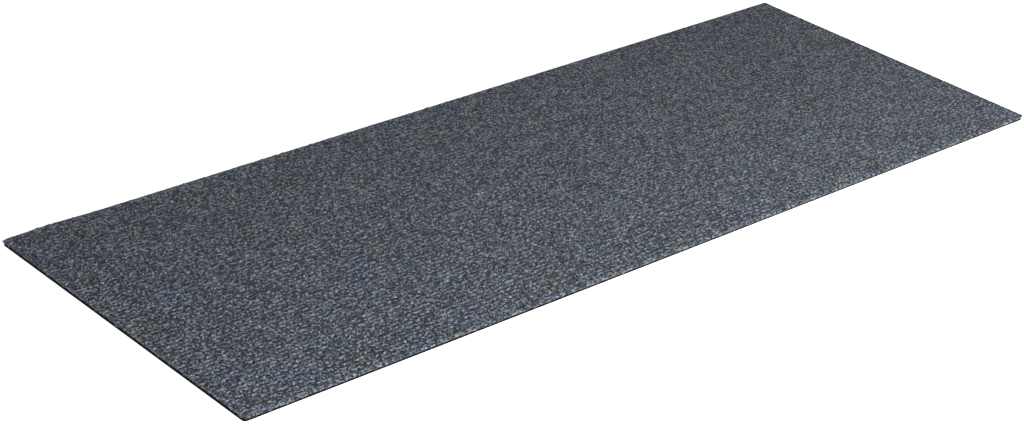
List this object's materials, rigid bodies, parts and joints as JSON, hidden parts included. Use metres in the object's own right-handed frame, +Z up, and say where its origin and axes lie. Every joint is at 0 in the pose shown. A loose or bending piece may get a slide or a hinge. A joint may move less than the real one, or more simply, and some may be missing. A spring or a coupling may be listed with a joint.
{
  "type": "anti slip stair tread mat",
  "caption": "Flat rectangular stair tread mat: ribbed grey needle-felt carpet with ribs along its length, bonded to a thin black rubber backing, with slightly rounded corners.",
  "frame": {"origin": "centre of the underside, on the tread that the mat lies on", "axes": "+X along the mat's length and its ribs, +Y from the front of the step towards the riser, +Z up out of the carpet"},
  "size_m": [0.6096, 0.2286, 0.003],
  "materials": {
    "felt": "heathered charcoal and blue-grey needle-punched felt, ribbed, matt",
    "rubber": "black rubber with a fine matt grain"
  },
  "bodies": {
    "root": {"carpet_face": "felt", "rubber_backing": "rubber"}
  },
  "joints": []
}
